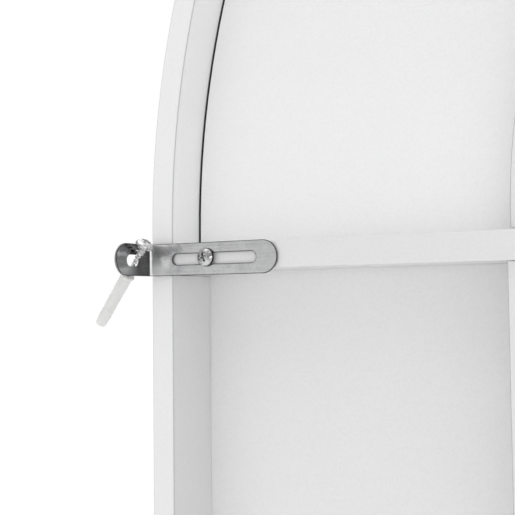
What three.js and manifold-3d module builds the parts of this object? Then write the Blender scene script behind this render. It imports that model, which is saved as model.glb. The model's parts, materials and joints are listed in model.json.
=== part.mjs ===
// White arched panel frame with two slotted angle brackets that tie it to the walls beside it.
// Millimetres, +Z up. The origin is the middle of the bottom rail's underside.
// The brackets lie on the fixing face, which looks along -Y. Left is -X.
import * as THREE from 'three';
import { mergeVertices } from 'three/addons/utils/BufferGeometryUtils.js';
import Module from 'manifold-3d';

const wasm = await Module();
wasm.setup();

// Frame
const WIDTH = 880;
const DEPTH = 40;
const BOARD = 12;
const JOINT_GAP = 0.2;
const SPRING_HEIGHT = 580;
const RAIL_CENTRE = 567;
const STILE_TOP = 559;
const ARC_STEPS = 32;
const RADIUS = WIDTH / 2;
const FIXING_FACE = -DEPTH / 2;
const FAR_FACE = DEPTH / 2;
const INNER_EDGE = -RADIUS + BOARD;
const RAIL_TOP = RAIL_CENTRE + BOARD / 2;
const RAIL_UNDERSIDE = RAIL_CENTRE - BOARD / 2;

// Mullions and the inner arch above them
const MULLION_EDGE = -271.7;
const MULLION_RECESS = 3;
const INNER_RADIUS = 271.5;
const INNER_ARCH_RECESS = 8;
const INNER_ARCH_LIFT = 1;
const MULLION_CENTRE = MULLION_EDGE + BOARD / 2;

// Panels
const THICK_PANEL_RECESS = 22;
const SHADOW_GAP = 1;
const PANEL_CLEARANCE = 0.3;
const THIN_PANEL = 3;
const THIN_PANEL_RECESS = 31.5;
const GROOVE_DEPTH = 5;
const MULLION_GROOVE_DEPTH = 4;
const GROOVE_CLEARANCE = 0.2;
const TONGUE_CLEARANCE = 0.5;
const THICK_PANEL_FACE = FIXING_FACE + THICK_PANEL_RECESS;
const THIN_PANEL_FACE = FIXING_FACE + THIN_PANEL_RECESS;

// Dowels, confirmat screws and their caps
const DOWEL_RADIUS = 3;
const BORE_CLEARANCE = 0.2;
const DOWEL_END_GAP = 0.5;
const DOWEL_SHORT_REACH = 7.5;
const DOWEL_LONG_REACH = 14;
const CONFIRMAT = { head: 3.5, headLength: 2.4, shank: 2.3, length: 46, sink: 1.2 };
const CAP = { radius: 5.5, proud: 1, stem: 3, stemLength: 0.9, gap: 0.1 };
const CONFIRMAT_Y = 2;
const END_DOWEL_Y = -13;
const STILE_DOWEL_Y = -6;
const FRONT_DOWEL_Y = -8;
const ARCH_FOOT_DOWEL_Y = 4;
const RING_DOWEL_TILTS = [28, 56, 84];

// Bracket
const PLATE = 1.2;
const BRACKET_WIDTH = 15;
const LONG_LEG = 69;
const SHORT_LEG = 26.8;
const BEND_RADIUS = 1.2;
const BRACKET_GAP = 0.2;
const BRACKET_Z = 566.1;
const SLOT = { start: 12.8, end: 58.3, width: 5.2 };
const WALL_HOLE = { reach: 14.5, drop: 0.4, length: 9.3, width: 5.5 };
const BRACKET_X = -RADIUS + 0.1;
const BRACKET_Y = FIXING_FACE - BRACKET_GAP - PLATE;

// Screws and wall plug
const HEAD = { radius: 4.3, height: 2.9, brim: 0.7 };
const RECESS = { reach: 2.3, width: 0.95, depth: 1.7 };
const SLOT_SCREW = { x: -RADIUS + 32, z: BRACKET_Z + 0.5, shank: 1.7, length: 16, gap: 0.1, pilot: 2 };
const WALL_SCREW = { shank: 1, length: 30, back: 8.9 };
const SCREW_POINT = 4;
const PLUG = {
  start: 8,
  length: 30,
  collar: 3.6,
  collarLength: 1.2,
  shoulder: 0.6,
  body: 2.9,
  tip: 2.6,
  taper: 8,
  bore: 1.5,
};
const HANG = new THREE.Vector3(-0.63, 0.09, -0.771).normalize();
const HANG_POINT = new THREE.Vector3(BRACKET_X - PLATE / 2, FIXING_FACE - 12.4, BRACKET_Z - 0.6);

// ---------------------------------------------------------------- solids

function toSolid(geometry) {
  const bare = geometry.clone();
  bare.deleteAttribute('normal');
  bare.deleteAttribute('uv');
  const merged = mergeVertices(bare, 1e-4);
  const mesh = new wasm.Mesh({
    numProp: 3,
    vertProperties: new Float32Array(merged.attributes.position.array),
    triVerts: new Uint32Array(merged.index.array),
  });
  return new wasm.Manifold(mesh);
}

function toGeometry(solid) {
  const { vertProperties, triVerts } = solid.getMesh();
  const geometry = new THREE.BufferGeometry();
  geometry.setAttribute('position', new THREE.BufferAttribute(vertProperties, 3));
  geometry.setIndex(new THREE.BufferAttribute(triVerts, 1));
  geometry.computeVertexNormals();
  return geometry;
}

function mirrored(geometry) {
  const copy = geometry.clone();
  copy.scale(-1, 1, 1);
  const index = copy.index.array;
  for (let i = 0; i < index.length; i += 3) {
    const first = index[i];
    index[i] = index[i + 1];
    index[i + 1] = first;
  }
  copy.computeVertexNormals();
  return copy;
}

function box(x, y, z) {
  const geometry = new THREE.BoxGeometry(x[1] - x[0], y[1] - y[0], z[1] - z[0]);
  geometry.translate((x[0] + x[1]) / 2, (y[0] + y[1]) / 2, (z[0] + z[1]) / 2);
  return toSolid(geometry);
}

function rod(radius, from, to, sides = 12) {
  const start = new THREE.Vector3(...from);
  const run = new THREE.Vector3(...to).sub(start);
  const geometry = new THREE.CylinderGeometry(radius, radius, run.length(), sides);
  const turn = new THREE.Quaternion().setFromUnitVectors(
    new THREE.Vector3(0, 1, 0),
    run.clone().normalize(),
  );
  geometry.applyQuaternion(turn);
  const middle = start.addScaledVector(run, 0.5);
  geometry.translate(middle.x, middle.y, middle.z);
  return toSolid(geometry);
}

// A flat shape drawn in X and Z, given its thickness from y[0] to y[1].
function slab(shape, y, curveSegments) {
  const geometry = new THREE.ExtrudeGeometry(shape, {
    depth: y[1] - y[0],
    bevelEnabled: false,
    curveSegments,
  });
  geometry.rotateX(Math.PI / 2);
  geometry.translate(0, y[1], 0);
  return toSolid(geometry);
}

// Turned piece: radii and stations along its axis, the axis running from head to point.
function turned(points, sides) {
  const profile = points.map(([radius, along]) => new THREE.Vector2(radius, -along));
  return toSolid(new THREE.LatheGeometry(profile.reverse(), sides));
}

// ---------------------------------------------------------------- outlines

// The left half of an arched band, from its straight foot to the crown.
function halfBand(outer, inner, foot, crownGap) {
  const shape = new THREE.Shape();
  const cut = crownGap / 2;
  shape.moveTo(-outer, foot);
  shape.lineTo(-inner, foot);
  shape.lineTo(-inner, SPRING_HEIGHT);
  shape.absarc(0, SPRING_HEIGHT, inner, Math.PI, Math.PI / 2 + cut / inner, true);
  shape.lineTo(-cut, SPRING_HEIGHT + outer);
  shape.absarc(0, SPRING_HEIGHT, outer, Math.PI / 2 + cut / outer, Math.PI, false);
  return shape;
}

function fullBand(outer, inner, foot) {
  const shape = new THREE.Shape();
  shape.moveTo(-outer, foot);
  shape.lineTo(-inner, foot);
  shape.lineTo(-inner, SPRING_HEIGHT);
  shape.absarc(0, SPRING_HEIGHT, inner, Math.PI, 0, true);
  shape.lineTo(inner, foot);
  shape.lineTo(outer, foot);
  shape.lineTo(outer, SPRING_HEIGHT);
  shape.absarc(0, SPRING_HEIGHT, outer, 0, Math.PI, false);
  return shape;
}

function archedPanel(radius, foot) {
  const shape = new THREE.Shape();
  shape.moveTo(-radius, foot);
  shape.lineTo(radius, foot);
  shape.lineTo(radius, SPRING_HEIGHT);
  shape.absarc(0, SPRING_HEIGHT, radius, 0, Math.PI, false);
  return shape;
}

function bracketSection() {
  const tipX = -RADIUS + LONG_LEG;
  const tipY = FIXING_FACE - SHORT_LEG;
  const centreX = BRACKET_X + BEND_RADIUS;
  const centreY = BRACKET_Y - BEND_RADIUS;
  const back = BRACKET_Y + PLATE;
  const shape = new THREE.Shape();
  shape.moveTo(tipX, BRACKET_Y);
  shape.lineTo(tipX, back);
  shape.lineTo(centreX, back);
  shape.absarc(centreX, centreY, BEND_RADIUS + PLATE, Math.PI / 2, Math.PI, false);
  shape.lineTo(BRACKET_X - PLATE, tipY);
  shape.lineTo(BRACKET_X, tipY);
  shape.lineTo(BRACKET_X, centreY);
  shape.absarc(centreX, centreY, BEND_RADIUS, Math.PI, Math.PI / 2, true);
  return shape;
}

// ---------------------------------------------------------------- dowels and confirmats

// A dowel's bore runs from one end to the other; the pin inside it is a little shorter and thinner.
function dowel(from, to) {
  const start = new THREE.Vector3(...from);
  const end = new THREE.Vector3(...to);
  const along = end.clone().sub(start).normalize().multiplyScalar(DOWEL_END_GAP);
  const pinStart = start.clone().add(along);
  const pinEnd = end.clone().sub(along);
  return {
    bore: rod(DOWEL_RADIUS + BORE_CLEARANCE, from, to),
    pin: rod(DOWEL_RADIUS, pinStart.toArray(), pinEnd.toArray()),
  };
}

function endDowel(z) {
  const reachOut = INNER_EDGE - DOWEL_SHORT_REACH;
  const reachIn = INNER_EDGE + DOWEL_LONG_REACH;
  return dowel([reachOut, END_DOWEL_Y, z], [reachIn, END_DOWEL_Y, z]);
}

function ringDowel(tilt) {
  const angle = THREE.MathUtils.degToRad(180 - tilt);
  const y = THICK_PANEL_FACE + BOARD / 2;
  const at = (r) => [r * Math.cos(angle), y, SPRING_HEIGHT + r * Math.sin(angle)];
  return dowel(at(RADIUS - BOARD + DOWEL_SHORT_REACH), at(RADIUS - BOARD - DOWEL_LONG_REACH));
}

// A confirmat's own solid points along +X from the frame's left side, at height z.
function confirmat(z) {
  const { head, headLength, shank, length, sink } = CONFIRMAT;
  const start = -RADIUS + sink;
  const tip = start + length;
  const axisAt = (x) => [x, CONFIRMAT_Y, z];
  const body = rod(head, axisAt(start), axisAt(start + headLength))
    .add(rod(shank, axisAt(start + headLength), axisAt(tip)));
  const slack = BORE_CLEARANCE;
  const bore = rod(head + slack, axisAt(-RADIUS - 1), axisAt(start + headLength + slack))
    .add(rod(shank + slack, axisAt(start + headLength), axisAt(tip + 1)));
  return { body, bore };
}

function screwCap(z) {
  const { radius, proud, stem, stemLength, gap } = CAP;
  const face = -RADIUS - gap;
  const axisAt = (x) => [x, CONFIRMAT_Y, z];
  return rod(radius, axisAt(face - proud), axisAt(face), 16)
    .add(rod(stem, axisAt(face), axisAt(face + stemLength)));
}

const stileDowel = dowel(
  [-RADIUS + BOARD / 2, STILE_DOWEL_Y, STILE_TOP - DOWEL_LONG_REACH],
  [-RADIUS + BOARD / 2, STILE_DOWEL_Y, STILE_TOP + DOWEL_LONG_REACH],
);
const railDowel = endDowel(RAIL_CENTRE);
const baseDowel = endDowel(BOARD / 2);
const mullionTopDowel = dowel(
  [MULLION_CENTRE, FRONT_DOWEL_Y, RAIL_UNDERSIDE - DOWEL_LONG_REACH],
  [MULLION_CENTRE, FRONT_DOWEL_Y, RAIL_UNDERSIDE + DOWEL_SHORT_REACH],
);
const mullionFootDowel = dowel(
  [MULLION_CENTRE, FRONT_DOWEL_Y, BOARD - DOWEL_SHORT_REACH],
  [MULLION_CENTRE, FRONT_DOWEL_Y, BOARD + DOWEL_LONG_REACH],
);
const archFootDowel = dowel(
  [-INNER_RADIUS + BOARD / 2, ARCH_FOOT_DOWEL_Y, RAIL_TOP - DOWEL_SHORT_REACH],
  [-INNER_RADIUS + BOARD / 2, ARCH_FOOT_DOWEL_Y, RAIL_TOP + DOWEL_LONG_REACH],
);
const crownDowel = dowel(
  [-DOWEL_LONG_REACH, FRONT_DOWEL_Y, SPRING_HEIGHT + RADIUS - BOARD / 2],
  [DOWEL_LONG_REACH, FRONT_DOWEL_Y, SPRING_HEIGHT + RADIUS - BOARD / 2],
);
const ringDowels = RING_DOWEL_TILTS.map(ringDowel);
const railConfirmat = confirmat(RAIL_CENTRE);
const baseConfirmat = confirmat(BOARD / 2);

// ---------------------------------------------------------------- frame members

function grooveY() {
  return [THIN_PANEL_FACE - GROOVE_CLEARANCE, THIN_PANEL_FACE + THIN_PANEL + GROOVE_CLEARANCE];
}

function stile() {
  const groove = box([INNER_EDGE - GROOVE_DEPTH, INNER_EDGE + 1], grooveY(), [-1, STILE_TOP + 1]);
  return box([-RADIUS, INNER_EDGE], [FIXING_FACE, FAR_FACE], [0, STILE_TOP - JOINT_GAP])
    .subtract(groove)
    .subtract(stileDowel.bore)
    .subtract(baseDowel.bore)
    .subtract(baseConfirmat.bore);
}

function archHalf() {
  const shape = halfBand(RADIUS, RADIUS - BOARD, STILE_TOP, JOINT_GAP);
  const grooveTop = RAIL_UNDERSIDE + GROOVE_DEPTH;
  const groove = box([INNER_EDGE - GROOVE_DEPTH, INNER_EDGE + 1], grooveY(), [STILE_TOP - 1, grooveTop]);
  let band = slab(shape, [FIXING_FACE, FAR_FACE], ARC_STEPS)
    .subtract(groove)
    .subtract(stileDowel.bore)
    .subtract(railDowel.bore)
    .subtract(railConfirmat.bore)
    .subtract(crownDowel.bore);
  for (const { bore } of ringDowels) {
    band = band.subtract(bore);
  }
  return band;
}

function rail(bottom) {
  const x = [INNER_EDGE + JOINT_GAP, -INNER_EDGE - JOINT_GAP];
  return box(x, [FIXING_FACE, FAR_FACE], [bottom, bottom + BOARD]);
}

function bothSides(solid, bores) {
  let cut = solid;
  for (const bore of bores) {
    cut = cut.subtract(bore).subtract(toSolid(mirrored(toGeometry(bore))));
  }
  return cut;
}

function crossRail() {
  const depth = [RAIL_UNDERSIDE - 1, RAIL_UNDERSIDE + GROOVE_DEPTH];
  const groove = box([INNER_EDGE, -INNER_EDGE], grooveY(), depth);
  const bores = [
    railDowel.bore,
    railConfirmat.bore,
    mullionTopDowel.bore,
    archFootDowel.bore,
    slotScrewPilot(),
  ];
  return bothSides(rail(RAIL_UNDERSIDE).subtract(groove), bores);
}

function bottomRail() {
  const groove = box([INNER_EDGE, -INNER_EDGE], grooveY(), [BOARD - GROOVE_DEPTH, BOARD + 1]);
  const bores = [baseDowel.bore, baseConfirmat.bore, mullionFootDowel.bore];
  return bothSides(rail(0).subtract(groove), bores);
}

function mullion() {
  const far = MULLION_EDGE + BOARD;
  const z = [BOARD + JOINT_GAP, RAIL_UNDERSIDE - JOINT_GAP];
  const whole = [0, RAIL_CENTRE];
  const outerGroove = box([MULLION_EDGE - 1, MULLION_EDGE + MULLION_GROOVE_DEPTH], grooveY(), whole);
  const innerGroove = box([far - MULLION_GROOVE_DEPTH, far + 1], grooveY(), whole);
  return box([MULLION_EDGE, far], [FIXING_FACE + MULLION_RECESS, FAR_FACE], z)
    .subtract(outerGroove)
    .subtract(innerGroove)
    .subtract(mullionTopDowel.bore)
    .subtract(mullionFootDowel.bore);
}

function innerArch() {
  const shape = fullBand(INNER_RADIUS, INNER_RADIUS - BOARD, RAIL_TOP + INNER_ARCH_LIFT);
  const band = slab(shape, [FIXING_FACE + INNER_ARCH_RECESS, FAR_FACE], 2 * ARC_STEPS);
  return bothSides(band, [archFootDowel.bore]);
}

// ---------------------------------------------------------------- panels

function ringPanel() {
  const outer = RADIUS - BOARD - SHADOW_GAP;
  const inner = INNER_RADIUS + PANEL_CLEARANCE;
  const shape = halfBand(outer, inner, RAIL_TOP + PANEL_CLEARANCE, JOINT_GAP);
  let panel = slab(shape, [THICK_PANEL_FACE, THICK_PANEL_FACE + BOARD], ARC_STEPS);
  for (const { bore } of ringDowels) {
    panel = panel.subtract(bore);
  }
  return panel;
}

function upperCentrePanel() {
  const shape = archedPanel(INNER_RADIUS - BOARD - PANEL_CLEARANCE, RAIL_TOP + PANEL_CLEARANCE);
  return slab(shape, [THICK_PANEL_FACE, THICK_PANEL_FACE + BOARD], 2 * ARC_STEPS);
}

function thinPanel(x) {
  const tongue = GROOVE_DEPTH - TONGUE_CLEARANCE;
  const z = [BOARD - tongue, RAIL_UNDERSIDE + tongue];
  return box(x, [THIN_PANEL_FACE, THIN_PANEL_FACE + THIN_PANEL], z);
}

function sidePanel() {
  const outer = INNER_EDGE - GROOVE_DEPTH + TONGUE_CLEARANCE;
  const inner = MULLION_EDGE + MULLION_GROOVE_DEPTH - TONGUE_CLEARANCE;
  return thinPanel([outer, inner]);
}

function lowerCentrePanel() {
  const edge = MULLION_EDGE + BOARD - MULLION_GROOVE_DEPTH + TONGUE_CLEARANCE;
  return thinPanel([edge, -edge]);
}

// ---------------------------------------------------------------- bracket, screws and plug

// What rounding off a plate's end takes away: the square end less a disc of the plate's half width.
function endWaste(from, to, discFrom, discTo) {
  return box(from, to, [BRACKET_Z - BRACKET_WIDTH, BRACKET_Z + BRACKET_WIDTH])
    .subtract(rod(BRACKET_WIDTH / 2, discFrom, discTo, 36));
}

function bracket() {
  const half = BRACKET_WIDTH / 2;
  const section = bracketSection();
  const geometry = new THREE.ExtrudeGeometry(section, {
    depth: BRACKET_WIDTH,
    bevelEnabled: false,
    curveSegments: 8,
  });
  geometry.translate(0, 0, BRACKET_Z - half);
  const tipX = -RADIUS + LONG_LEG;
  const tipY = FIXING_FACE - SHORT_LEG;
  const front = BRACKET_Y - 1;
  const back = BRACKET_Y + PLATE + 1;
  const outside = BRACKET_X - PLATE - 1;
  const inside = BRACKET_X + 1;
  const longWaste = endWaste(
    [tipX - half, tipX + 1],
    [front, back],
    [tipX - half, front - 1, BRACKET_Z],
    [tipX - half, back + 1, BRACKET_Z],
  );
  const shortWaste = endWaste(
    [outside, inside],
    [tipY - 1, tipY + half],
    [outside - 1, tipY + half, BRACKET_Z],
    [inside + 1, tipY + half, BRACKET_Z],
  );
  return toSolid(geometry)
    .subtract(longWaste)
    .subtract(shortWaste)
    .subtract(slotCut(front, back))
    .subtract(wallHoleCut(outside, inside));
}

function slotCut(front, back) {
  const radius = SLOT.width / 2;
  const left = -RADIUS + SLOT.start + radius;
  const right = -RADIUS + SLOT.end - radius;
  return box([left, right], [front, back], [BRACKET_Z - radius, BRACKET_Z + radius])
    .add(rod(radius, [left, front, BRACKET_Z], [left, back, BRACKET_Z], 20))
    .add(rod(radius, [right, front, BRACKET_Z], [right, back, BRACKET_Z], 20));
}

function wallHoleCut(outside, inside) {
  const radius = WALL_HOLE.width / 2;
  const spread = (WALL_HOLE.length - WALL_HOLE.width) / 2;
  const near = FIXING_FACE - WALL_HOLE.reach + spread;
  const far = FIXING_FACE - WALL_HOLE.reach - spread;
  const z = BRACKET_Z - WALL_HOLE.drop;
  return box([outside, inside], [far, near], [z - radius, z + radius])
    .add(rod(radius, [outside, near, z], [inside, near, z], 20))
    .add(rod(radius, [outside, far, z], [inside, far, z], 20));
}

function slotScrewPilot() {
  const { x, z, pilot, length } = SLOT_SCREW;
  return rod(pilot, [x, FIXING_FACE - 1, z], [x, BRACKET_Y + length + 1, z]);
}

// A domed pan head with a cross recess, on a plain shank that ends in a point.
// The head sits on the origin and the shank runs along -Y.
function panScrew(shank, length) {
  const { radius, height, brim } = HEAD;
  const dome = [];
  const steps = 4;
  for (let i = 0; i <= steps; i += 1) {
    const angle = (i / steps) * (Math.PI / 2);
    dome.push([radius * Math.sin(angle), -brim - (height - brim) * Math.cos(angle)]);
  }
  const shaft = [[shank, 0], [shank, length - SCREW_POINT], [0, length]];
  const body = turned([...dome, [radius, 0], ...shaft], 20);
  const { reach, width, depth } = RECESS;
  const y = [height - depth, height + 1];
  const arm = [-reach, reach];
  const thin = [-width / 2, width / 2];
  return body.subtract(box(arm, y, thin)).subtract(box(thin, y, arm));
}

// A nylon plug with a collar, bored through. The collar's mouth is at the origin, the body along -Y.
function wallPlug() {
  const { length, collar, collarLength, shoulder, body, tip, taper, bore } = PLUG;
  return turned([
    [bore, 0],
    [collar, 0],
    [collar, collarLength],
    [body, collarLength + shoulder],
    [body, length - taper],
    [tip, length],
    [bore, length],
    [bore, 0],
  ], 16);
}

// ---------------------------------------------------------------- materials and assembly

const white = (roughness) => ({ color: 0xebebeb, roughness, metalness: 0 });
const STYLES = {
  board: white(0.45),
  panel: white(0.4),
  dowel: { color: 0xd9bd8c, roughness: 0.8, metalness: 0 },
  zinc: { color: 0xb4b6b8, roughness: 0.35, metalness: 1 },
  steel: { color: 0xc8cacc, roughness: 0.25, metalness: 1 },
  nylon: { color: 0xe4e4e2, roughness: 0.5, metalness: 0 },
};

const part = new THREE.Group();

function add(name, geometry, style, position, direction) {
  const mesh = new THREE.Mesh(geometry, new THREE.MeshStandardMaterial(STYLES[style]));
  mesh.name = name;
  if (position) {
    mesh.position.copy(position);
  }
  if (direction) {
    mesh.quaternion.setFromUnitVectors(new THREE.Vector3(0, -1, 0), direction);
  }
  part.add(mesh);
}

function addPair(name, solid, style) {
  const geometry = toGeometry(solid);
  add(`${name}_left`, geometry, style);
  add(`${name}_right`, mirrored(geometry), style);
}

function flipped(vector) {
  return new THREE.Vector3(-vector.x, vector.y, vector.z);
}

// A turned piece on both sides of the frame, pointing along a direction that is mirrored too.
function addAimedPair(name, solid, style, position, direction) {
  const geometry = toGeometry(solid);
  add(`${name}_left`, geometry, style, position, direction);
  add(`${name}_right`, geometry.clone(), style, flipped(position), flipped(direction));
}

function addFrame() {
  addPair('stile', stile(), 'board');
  addPair('arch', archHalf(), 'board');
  add('cross_rail', toGeometry(crossRail()), 'board');
  add('bottom_rail', toGeometry(bottomRail()), 'board');
  addPair('mullion', mullion(), 'board');
  add('inner_arch', toGeometry(innerArch()), 'board');
  addPair('ring_panel', ringPanel(), 'panel');
  add('centre_panel_upper', toGeometry(upperCentrePanel()), 'panel');
  add('centre_panel_lower', toGeometry(lowerCentrePanel()), 'panel');
  addPair('side_panel', sidePanel(), 'panel');
}

function addJoinery() {
  addPair('stile_dowel', stileDowel.pin, 'dowel');
  addPair('rail_dowel', railDowel.pin, 'dowel');
  addPair('base_dowel', baseDowel.pin, 'dowel');
  addPair('mullion_top_dowel', mullionTopDowel.pin, 'dowel');
  addPair('mullion_foot_dowel', mullionFootDowel.pin, 'dowel');
  addPair('arch_foot_dowel', archFootDowel.pin, 'dowel');
  add('crown_dowel', toGeometry(crownDowel.pin), 'dowel');
  ringDowels.forEach(({ pin }, index) => addPair(`ring_dowel_${index + 1}`, pin, 'dowel'));
  addPair('rail_confirmat', railConfirmat.body, 'steel');
  addPair('base_confirmat', baseConfirmat.body, 'steel');
  addPair('rail_cap', screwCap(RAIL_CENTRE), 'nylon');
  addPair('base_cap', screwCap(BOARD / 2), 'nylon');
}

function addBrackets() {
  const slotScrewSeat = new THREE.Vector3(SLOT_SCREW.x, BRACKET_Y - SLOT_SCREW.gap, SLOT_SCREW.z);
  const intoRail = new THREE.Vector3(0, 1, 0);
  const wallScrewSeat = HANG_POINT.clone().addScaledVector(HANG, -WALL_SCREW.back);
  const plugMouth = HANG_POINT.clone().addScaledVector(HANG, PLUG.start);
  addPair('bracket', bracket(), 'zinc');
  const slotScrew = panScrew(SLOT_SCREW.shank, SLOT_SCREW.length);
  addAimedPair('slot_screw', slotScrew, 'steel', slotScrewSeat, intoRail);
  const wallScrew = panScrew(WALL_SCREW.shank, WALL_SCREW.length);
  addAimedPair('wall_screw', wallScrew, 'steel', wallScrewSeat, HANG);
  addAimedPair('wall_plug', wallPlug(), 'nylon', plugMouth, HANG);
}

addFrame();
addJoinery();
addBrackets();

export default part;
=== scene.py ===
"""Looks for a white arched panel frame with two slotted angle brackets.

Metres, in the CAD frame: +Z up, the brackets' face looks along -Y, the bottom rail stands on Z = 0.
"""

import json
import math

import bmesh
import bpy
from mathutils import Matrix, Vector


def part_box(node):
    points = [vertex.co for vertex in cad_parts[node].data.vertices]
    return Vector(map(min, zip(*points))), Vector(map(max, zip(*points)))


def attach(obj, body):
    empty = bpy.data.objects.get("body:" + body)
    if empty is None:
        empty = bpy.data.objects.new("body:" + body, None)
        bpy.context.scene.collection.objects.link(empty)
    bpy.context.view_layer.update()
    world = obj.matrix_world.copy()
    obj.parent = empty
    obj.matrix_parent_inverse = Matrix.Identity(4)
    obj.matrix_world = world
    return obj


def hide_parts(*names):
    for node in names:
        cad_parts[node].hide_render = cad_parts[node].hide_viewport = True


MM = 0.001

# Studio: soft boxes as direction, cosine where each begins, cosine where it is full, and strength
SOFT_BOXES = [
    ((0, 0, 1), -2, -1.5, 0.485),
    ((-0.45, 0.75, 0.5), 0.5, 0.85, 0.84),
    ((0, -0.35, 0.93), 0.75, 1, 1.13),
    ((0.6, -0.3, 0.8), 0.5, 1, 0.25),
    ((-0.55, -0.83, 0.1), 0.8, 1, 0.35),
]
BACKDROP = 1.0
STRIP = {"width": 1.9, "height": 0.13, "power": 1.9, "away": (0.98, -0.56, 0.07)}
FLOOR_REACH = 150

# Camera, in degrees and metres: it looks slightly up from in front of the left bracket
CAMERA_PLACE = (-0.176, -0.3672, 0.547)
CAMERA_AZIMUTH = 30.64
CAMERA_RISE = 2.65
CAMERA_ROLL = -0.62
CAMERA_LENS = 63.54
CAMERA_CLIP = (0.01, 400)

# Boards. The sides of a board are numbered in the order of its section's corners.
ARRIS = 0.45 * MM
END_ARRIS = 0.22 * MM
PANEL_ARRIS = 0.25 * MM
ARC_STEPS = 72
INNER_SIDE = 1
OUTER_SIDE = 3
STILE_INNER_SIDE = {"left": 1, "right": 3}
BORE_SLACK = 0.2 * MM
GROOVE_SLACK = 0.2 * MM
INNER_ARCH_GAP = 0.3 * MM
CONFIRMAT_BORE = {"head_length": 2.6 * MM, "overrun": 3 * MM, "overlap": 1 * MM, "radius": 2.5 * MM}
PILOT_RADIUS = 2 * MM

# White finishes: how much light each one returns, and its least and most roughness
BOARD_ROUGH = (0.34, 0.5)
PANEL_ROUGH = (0.3, 0.42)
SEAM_ROUGH = (0.45, 0.6)
TONES = {
    "seam": 0.55,
    "arch": 0.885,
    # The two inner faces below share their boards' lacquer: the arch's is set lighter as painted light, the
    # stile's darker as painted shade.
    "arch_inside_painted_light": 0.92,
    "stile": 0.86,
    "stile_inside_painted_shade": 0.75,
    "inner_board": 0.785,
    "panel": 0.96,
    "back_sheet": 0.84,
}
# Heights over which the painted light above the cross rail fades out, on the panel and on the arch's inner
# face
PANEL_PAINTED_LIGHT_FADE = 87 * MM
ARCH_PAINTED_LIGHT_FADE = 67 * MM

# Bracket plate. Painted reflection, painted highlight, painted light and dullness are ramps: place and value,
# along the short leg from its tip to the bend, away from the bend up to BEND_REACH, and down the plate's
# width.
PLATE = 1.2 * MM
BEND_RADIUS = 1.2 * MM
BEND_STEPS = 14
BEND_LINE = (439.9 * MM, 21.4 * MM)
BEND_REACH = 20 * MM
SHORT_LEG_PAINTED_REFLECTION = [(0.0, 0.55), (0.3, 0.48), (0.52, 0.16), (0.64, 0.045), (0.98, 0.045), (1.0, 1.0)]
BEND_DULLNESS_AND_HIGHLIGHT = [(0.055, 1.0), (0.16, 0.0)]
NEAR_BEND_PAINTED_LIGHT_AND_DULLNESS = [(0.35, 0.95), (0.8, 0.0)]
LOWER_HALF_PAINTED_LIGHT = [(0.0, 0.5), (0.3, 0.3), (0.55, 0.5), (0.75, 1.0)]
SLOT = {"start": 13.9 * MM, "end": 59.4 * MM, "radius": 2.6 * MM}
WALL_HOLE = {"from_tip": 12.3 * MM, "drop": 0.4 * MM, "half_length": 4.65 * MM, "radius": 2.75 * MM}
PLATE_ARRIS = 0.27 * MM
ROUND_STEPS = 28
SHEARED_TONES = (0.2, 0.42)
ARRIS_PAINTED_SHADE_TONES = (0.03, 0.07)

# Screws
HEAD_RADIUS = 4.3 * MM
HEAD_HEIGHT = 2.9 * MM
HEAD_BRIM = 0.7 * MM
HEAD_LIP = 0.18 * MM
DOME_STEPS = 14
BRIM_BEGINS = 0.93
RECESS = {
    "reach": 2.35 * MM,
    "half_width": 0.5 * MM,
    "floor_reach": 1.2 * MM,
    "floor_half_width": 0.34 * MM,
    "depth": 1.75 * MM,
}
SLOT_THREAD = {
    "outer": 1.65 * MM,
    "straight": 0.0,
    "fall": 0.0144,
    "thinnest": 1.0 * MM,
    "depth": 0.45 * MM,
    "pitch": 1.5 * MM,
    "length": 16 * MM,
}
WALL_THREAD = {
    "outer": 2.2 * MM,
    "straight": 4.4 * MM,
    "fall": 0.4,
    "thinnest": 0.75 * MM,
    "depth": 0.55 * MM,
    "pitch": 1.75 * MM,
    "length": 30 * MM,
}
RECESS_HUB = 0.85 * MM
# The wall screw's dome is set lighter than the rest of it as painted light; the shaded tones are the slot
# screws' brims, painted shade.
SCREW_TONES = {"steel": (0.12, 0.62), "painted_light": (0.4, 0.76), "thread": (0.25, 0.62), "shaded": (0.03, 0.1)}
SCREW_SIDES = 40
THREAD_ROWS = 9
POINT_LENGTH = 3.2 * MM
WALL_SCREW_BACK = 8.9 * MM
SLOT_SCREW_TURN = 18
WALL_SCREW_TURN = 25

# Wall plug and screw caps
PLUG = {
    "start": 8 * MM,
    "length": 30 * MM,
    "collar": 3.6 * MM,
    "body": 2.9 * MM,
    "tip": 2.55 * MM,
    "bore": 1.5 * MM,
    "neck": 9 * MM,
    "end": 5 * MM,
}
PLUG_BARBS = 6
PLUG_SLIT = {"begins": 10.5 * MM, "half_width": 0.3 * MM}
PLUG_TURN = 35
CAP = {"proud": 1.0 * MM, "stem": 3.0 * MM, "deep": 0.9 * MM}
TURNED_SIDES = 48
PLUG_FINISH = {"colour": (0.77, 0.77, 0.762), "rough": (0.35, 0.5)}
CAP_FINISH = {"colour": (0.84, 0.84, 0.835), "rough": (0.3, 0.42)}


# ---------------------------------------------------------------- mesh helpers


def new_object(name, mesh, *materials):
    for material in materials:
        mesh.materials.append(material)
    obj = bpy.data.objects.new(name, mesh)
    bpy.context.scene.collection.objects.link(obj)
    return obj


def mesh_from(bm, name):
    bmesh.ops.recalc_face_normals(bm, faces=bm.faces)
    mesh = bpy.data.meshes.new(name)
    bm.to_mesh(mesh)
    bm.free()
    return mesh


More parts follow.
